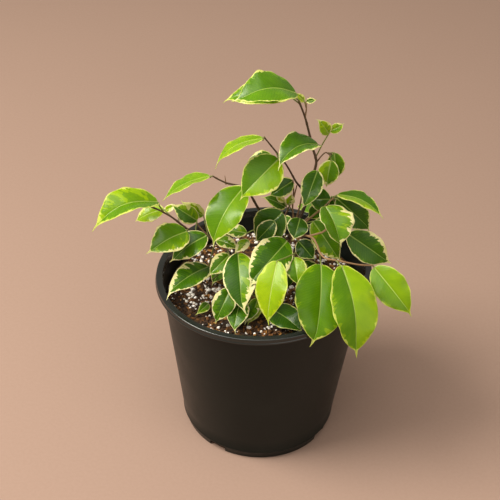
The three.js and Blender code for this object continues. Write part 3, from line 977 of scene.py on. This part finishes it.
def build_bark(name, centres, radii, tint, seed):
    """A bark skin over a stem's path, with small swollen nodes."""
    rng = random.Random(seed)
    length = np.linalg.norm(np.diff(centres, axis=0), axis=1).sum()
    steps = max(int(length / BARK_STEP), 12)
    path = smooth_path(centres, steps)
    wide = np.interp(np.linspace(0, len(radii) - 1, steps), np.arange(len(radii)), radii)
    nodes = [rng.uniform(-0.3, 0.3) + k for k in range(int(length / NODE_SPACING) + 2)]
    swell = []
    for i in range(steps):
        place = i / (steps - 1) * length / NODE_SPACING
        knot = sum(NODE_SWELL * math.exp(-((place - node) / NODE_WIDTH) ** 2) for node in nodes)
        row = []
        for side in range(BARK_SIDES):
            angle = 2 * math.pi * side / BARK_SIDES
            spot = Vector((math.cos(angle) * 2, math.sin(angle) * 2, i * 0.22 + seed))
            row.append(1 + knot + 0.10 * noise.noise(spot) + 0.05 * noise.noise(spot * 3))
        swell.append(row)
    verts, faces = tube(path, wide, BARK_SIDES, swell)
    obj = make_object(name, verts, faces, [bark_material()])
    along = np.repeat(np.linspace(0, length / MM, steps), BARK_SIDES)
    around = np.abs(np.tile(np.linspace(0, 2, BARK_SIDES, endpoint=False), steps) - 1) * 3
    add_attribute(obj, "bark", np.column_stack([along, around, np.full(len(along), tint)]))
    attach(obj, "root")
    return obj


def build_stems():
    """Each packed stem's skin runs on a little way into the stem that it grows from."""
    paths = {name: stem_path(name) for name in STEMS}
    for number, (name, tint) in enumerate(STEMS.items()):
        centres, radii = paths[name]
        others = np.vstack([smooth_path(paths[key][0], REACH_STEPS) for key in STEMS if key != name])
        back = unit(centres[0] - centres[1])
        reach = min(np.linalg.norm(others - centres[0], axis=1).min(), MOST_REACH)
        centres = np.vstack([centres[0] + back * reach, centres])
        radii = np.concatenate([[radii[0] * ROOT_SWELL], radii])
        bark = build_bark(f"{name}_bark", centres, radii, tint, number)
        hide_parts(name)


# ---- how each leaf is coloured ----
# tone and pale edge (mm) of the left half, the same of the right half, and how creamy the edge is.
# The halves are as seen from above with the tip pointing away. Tone: 0 is dark green, 1 is yellow lime. It
# is the leaf's own green with painted light and shade: where the halves' tones differ, the lighter half is
# painted lit and the darker half painted in shade.
LOOKS = {
    "leader_leaf_1": (0.45, 0.6, 0.38, 1.0, 0.3),
    "leader_leaf_2": (0.5, 0.6, 0.42, 0.9, 0.3),
    "leader_leaf_3": (0.4, 1.0, 0.32, 0.6, 0.8),
    "leader_leaf_4": (0.26, 1.2, 0.26, 0.5, 0.9),
    "leader_leaf_5": (0.66, 1.0, 0.6, 1.4, 0.7),
    "leader_leaf_6": (0.2, 0.7, 0.18, 0.7, 1.0),
    "upper_left_twig_leaf_1": (0.64, 0.4, 0.6, 0.6, 0.2),
    "upper_left_twig_leaf_2": (0.6, 1.0, 0.42, 0.6, 0.4),
    "arched_twig_leaf_1": (0.46, 0.5, 0.5, 0.8, 0.4),
    "arched_twig_leaf_2": (0.46, 0.6, 0.6, 3.0, 0.8),
    "high_right_cane_leaf_1": (0.3, 0.5, 0.62, 1.0, 0.35),
    "high_right_cane_leaf_2": (0.25, 1.0, 0.23, 0.5, 0.8),
    "high_right_cane_leaf_3": (0.18, 0.7, 0.2, 0.5, 0.8),
    "high_right_cane_leaf_4": (0.5, 3.6, 0.44, 0.6, 0.9),
    "high_right_cane_leaf_5": (0.36, 0.6, 0.5, 1.4, 0.7),
    "right_fork_leaf_1": (0.27, 1.9, 0.27, 0.6, 0.9),
    "low_right_cane_leaf_1": (0.62, 0.4, 0.55, 0.4, 0.2),
    "low_right_cane_leaf_2": (0.66, 0.9, 0.5, 0.8, 0.1),
    "low_right_cane_leaf_3": (0.47, 1.3, 0.44, 1.1, 0.25),
    "low_right_cane_leaf_4": (0.08, 0.6, 0.1, 0.6, 0.7),
    "mid_left_cane_leaf_1": (0.62, 0.4, 0.56, 0.6, 0.3),
    "mid_left_cane_leaf_2": (0.56, 0.5, 0.46, 0.8, 0.7),
    "mid_left_cane_leaf_3": (0.22, 0.6, 0.2, 0.6, 0.8),
    "mid_left_cane_leaf_4": (0.2, 0.6, 0.16, 0.6, 0.9),
    "mid_left_cane_leaf_5": (0.4, 1.4, 0.5, 2.2, 0.8),
    "inner_shoot_leaf_1": (0.18, 0.5, 0.2, 0.6, 0.6),
    "far_left_cane_leaf_1": (0.46, 0.9, 0.56, 3.2, 0.15),
    "far_left_cane_leaf_2": (0.68, 0.8, 0.64, 1.5, 0.5),
    "far_left_cane_leaf_3": (0.52, 1.5, 0.42, 0.7, 0.7),
    "far_left_cane_leaf_4": (0.34, 1.1, 0.26, 1.0, 1.0),
    "far_left_cane_leaf_5": (0.26, 0.7, 0.5, 2.0, 0.6),
    "far_left_cane_leaf_6": (0.5, 1.3, 0.42, 1.6, 0.85),
    "far_left_cane_leaf_7": (0.3, 0.8, 0.26, 3.6, 0.95),
    "far_left_cane_leaf_8": (0.46, 3.4, 0.2, 0.5, 0.95),
    "far_left_cane_leaf_9": (0.5, 1.0, 0.42, 1.7, 0.8),
    "trunk_leaf_1": (0.3, 2.2, 0.26, 2.6, 0.95),
    "front_twig_leaf_1": (0.7, 0.8, 0.76, 0.7, 0.1),
    "front_twig_leaf_2": (0.64, 0.7, 0.42, 0.7, 0.3),
    "cutting_leaf_1": (0.34, 1.2, 0.3, 1.5, 0.95),
    "cutting_leaf_2": (0.3, 1.1, 0.26, 1.2, 0.95),
    "cutting_leaf_3": (0.34, 1.9, 0.3, 1.7, 0.9),
    "cutting_leaf_4": (0.14, 0.5, 0.16, 0.5, 0.5),
    "back_cane_leaf_1": (0.4, 0.9, 0.34, 1.0, 0.7),
    "back_cane_leaf_2": (0.26, 0.8, 0.3, 0.8, 0.8),
    "back_cane_leaf_3": (0.44, 1.2, 0.36, 1.0, 0.6),
}

# Small leaves that only the visual model has. First where the stalk leaves its stem, base, tip, width and
# face, then the look.
SMALL_LEAVES = {
    "bud_leaf_1": ((21, 14, 259), (20, 14, 262), (13, 13, 269), 5, (0.4, -0.8, 0.3),
        (0.8, 0.6, 0.7, 0.8, 0.5)),
    "bud_leaf_2": ((21, 14, 260), (21, 14, 262), (28, 15, 263), 4, (0, -0.7, 0.6),
        (0.26, 0.3, 0.3, 0.4, 0.6)),
    "small_leaf_1": ((4, 3, 224), (2, 5, 223), (-17, 6, 217), 13, (-0.1, -0.6, 0.8),
        (0.3, 0.6, 0.3, 1.2, 0.4)),
    "small_leaf_2": ((41, 21, 218), (42, 24, 214), (43, 25, 194), 11, (0, -0.8, 0.5),
        (0.4, 0.5, 0.36, 0.5, 0.3)),
    "small_leaf_3": ((36, 18, 236), (38, 18, 238), (48, 22, 242), 7, (0.2, -0.8, 0.4),
        (0.6, 1.0, 0.5, 1.0, 0.7)),
    "small_leaf_4": ((44, 2, 194), (43, 9, 192), (50, 12, 172), 13, (0, -0.7, 0.7),
        (0.16, 0.6, 0.14, 0.6, 0.7)),
    "small_leaf_5": ((40, 1, 190), (39, 8, 186), (28, 11, 171), 11, (0, -0.7, 0.7),
        (0.2, 0.6, 0.2, 0.5, 0.7)),
    "small_leaf_6": ((-14, 2, 152), (-12, -10, 166), (-22, -18, 160), 8, (0, -0.5, 0.8),
        (0.5, 2.0, 0.5, 2.0, 1.0)),
    "small_leaf_7": ((-40, 0, 160), (-44, 8, 172), (-60, 8, 183), 10, (0, -0.8, 0.5),
        (0.42, 1.0, 0.66, 2.2, 0.6)),
    "small_leaf_8": ((-60, -5, 176), (-63, 6, 181), (-73, 6, 174), 5, (0, -0.7, 0.7),
        (0.7, 1.5, 0.7, 1.5, 0.9)),
    "small_leaf_9": ((-24, 4, 156), (-35, 6, 155), (-25, 12, 152), 7, (0, -0.6, 0.8),
        (0.2, 0.5, 0.2, 0.6, 0.9)),
    "small_leaf_10": ((15, 16, 180), (12, 14, 178), (-5, 8, 190), 10, (0.1, -0.6, 0.8),
        (0.28, 0.7, 0.32, 0.5, 0.5)),
    "small_leaf_11": ((14, 14, 176), (11, 12, 183), (4, 12, 193), 5, (-0.2, -0.8, 0.4),
        (0.9, 2.0, 0.9, 2.0, 0.9)),
    "small_leaf_12": ((16, 15, 176), (14, 14, 180), (16, 14, 190), 7, (0.2, -0.8, 0.5),
        (0.6, 1.8, 0.6, 1.8, 1.0)),
    "small_leaf_13": ((15, 1, 150), (14, -6, 146), (16, -16, 128), 13, (0.3, -0.7, 0.5),
        (0.14, 0.5, 0.16, 0.5, 0.5)),
    "small_leaf_14": ((-20, -29, 143), (-4, -29, 131), (-11, -43, 118), 11, (0.2, -0.7, 0.6),
        (0.7, 1.0, 0.4, 1.0, 0.3)),
    "small_leaf_15": ((-36, -1, 124), (-31, 14, 119), (-37, -3, 120), 10, (0, -0.5, 0.8),
        (0.36, 0.8, 0.3, 1.2, 0.6)),
    "small_leaf_16": ((-38, -24, 118), (-38, -24, 120), (-46, -39, 122), 7, (0.3, -0.5, 0.8),
        (0.46, 0.4, 0.4, 0.4, 0.4)),
    "small_leaf_17": ((20, -3, 152), (27, -2, 144), (36, -6, 132), 11, (0, -0.6, 0.8),
        (0.2, 0.6, 0.2, 0.6, 0.6)),
    "small_leaf_18": ((16, 4, 136), (14, 22, 130), (8, 40, 136), 14, (-0.2, 0.2, 0.9),
        (0.34, 0.8, 0.3, 1.0, 0.8)),
}

# Bare thin shoots: points and thickness at both ends, in millimetres.
SMALL_SHOOTS = {
    "bud_stalk": ([(21, 13, 250), (21.5, 13.5, 256), (21, 14, 262)], 0.55, 0.4),
    "left_bud": ([(-29, 5, 201), (-30, 5, 208)], 0.5, 0.15),
    "inner_shoot_2": ([(14, 6, 146), (18, 12, 166), (17, 15, 180), (19, 16, 195)], 0.8, 0.4),
    "inner_shoot_3": ([(15, 5, 154), (21, 15, 172), (23, 18, 184), (25, 18, 194)], 0.7, 0.4),
    "pale_shoot_1": ([(-38, 1, 158), (-47, 4, 166), (-52, 6, 178)], 0.55, 0.35),
    "pale_shoot_2": ([(-30, 1, 155), (-36, 6, 160), (-41, 8, 172)], 0.55, 0.35),
}


LEAF_SEED = 1
SMALL_LEAF_SEED = 101
SHOOT_SEED = 300


def finish_leaf(leaf):
    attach(leaf, "root")


def build_leaves():
    names = sorted(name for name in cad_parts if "_leaf_" in name)
    for number, name in enumerate(names):
        leaf = build_leaf(f"{name}_blade", blade_of(name), LOOKS[name], LEAF_SEED + number)
        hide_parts(name)
        finish_leaf(leaf)
    for number, (name, (*place, look)) in enumerate(SMALL_LEAVES.items()):
        leaf = build_leaf(name, blade_from(*place), look, SMALL_LEAF_SEED + number)
        finish_leaf(leaf)


def build_small_shoots():
    for number, (name, (points, thick, thin)) in enumerate(SMALL_SHOOTS.items()):
        path = np.array(points, float) * MM
        radii = np.linspace(thick, thin, len(points)) * MM
        build_bark(name, path, radii, SHOOT_TINT, SHOOT_SEED + number)


# ---- studio ----
CAMERA_LENS = 85
CAMERA_ELEVATION = 37.5
CAMERA_ROLL = 2.5
CAMERA_DISTANCE = 0.82
CAMERA_AIM = (-0.011, 0, 0.150)
LIGHT_AIM = (0, 0, 0.12)
LIGHTS = [  # name, place, size, power, colour
    ("key", (-0.86, -0.22, 1.22), 0.8, 26, (1.0, 0.95, 0.86)),
    ("top", (-0.15, -0.45, 1.5), 1.1, 9, (1.0, 0.95, 0.88)),
    ("fill", (0.9, -1.0, 0.9), 1.4, 4, (1.0, 0.95, 0.90)),
]
WORLD_COLOR = (1.0, 0.90, 0.78, 1.0)
WORLD_STRENGTH = 0.42
FLOOR_RINGS = [0.3, 0.8, 2, 6]
FLOOR_SEGMENTS = 64


def build_camera():
    data = bpy.data.cameras.new("photo_camera")
    data.lens = CAMERA_LENS
    data.sensor_width = 36
    data.clip_start = 0.01
    data.clip_end = 50
    camera = link(bpy.data.objects.new("photo_camera", data))
    elevation, roll = math.radians(CAMERA_ELEVATION), math.radians(CAMERA_ROLL)
    back = Vector((0, -math.cos(elevation), math.sin(elevation)))
    camera.location = Vector(CAMERA_AIM) + back * CAMERA_DISTANCE
    look = (-back).to_track_quat("-Z", "Y").to_matrix()
    camera.rotation_euler = (look @ Matrix.Rotation(roll, 3, "Z")).to_euler()
    bpy.context.scene.camera = camera


def area_light(name, location, size, power, color):
    data = bpy.data.lights.new(name, "AREA")
    data.shape = "DISK"
    data.size = size
    data.energy = power
    data.color = color
    lamp = link(bpy.data.objects.new(name, data))
    lamp.location = location
    aim = Vector(LIGHT_AIM) - Vector(location)
    lamp.rotation_euler = aim.to_track_quat("-Z", "Y").to_euler()


def build_floor():
    """A flat round floor, finer near the pot."""
    verts = [(0, 0, 0)]
    for radius in FLOOR_RINGS:
        verts += circle(radius, 0, FLOOR_SEGMENTS)
    faces = []
    for k in range(FLOOR_SEGMENTS):
        faces += disc_faces(k, FLOOR_SEGMENTS, len(FLOOR_RINGS))
    make_object("floor", verts, faces, [floor_material()])


def build_studio():
    build_floor()
    for light in LIGHTS:
        area_light(*light)
    world = bpy.data.worlds.new("studio")
    world.use_nodes = True
    background = world.node_tree.nodes["Background"]
    background.inputs["Color"].default_value = WORLD_COLOR
    background.inputs["Strength"].default_value = WORLD_STRENGTH
    bpy.context.scene.world = world
    bpy.context.scene.view_settings.view_transform = "Standard"


build_camera()
build_studio()
build_pot()
build_soil()
scatter("bark_chips", count=2400, sizes=(1.2, 5.4, 2.0), shape=bark_chip, mat=chip_material(),
        seed=11, sink=0.1, gap=0.25)
scatter("perlite_grains", count=860, sizes=(0.7, 3.6, 1.0), shape=perlite_grain, mat=perlite_material(),
        seed=12, sink=0.2, gap=0.42, thinnest=0.2)
build_stems()
build_small_shoots()
build_leaves()
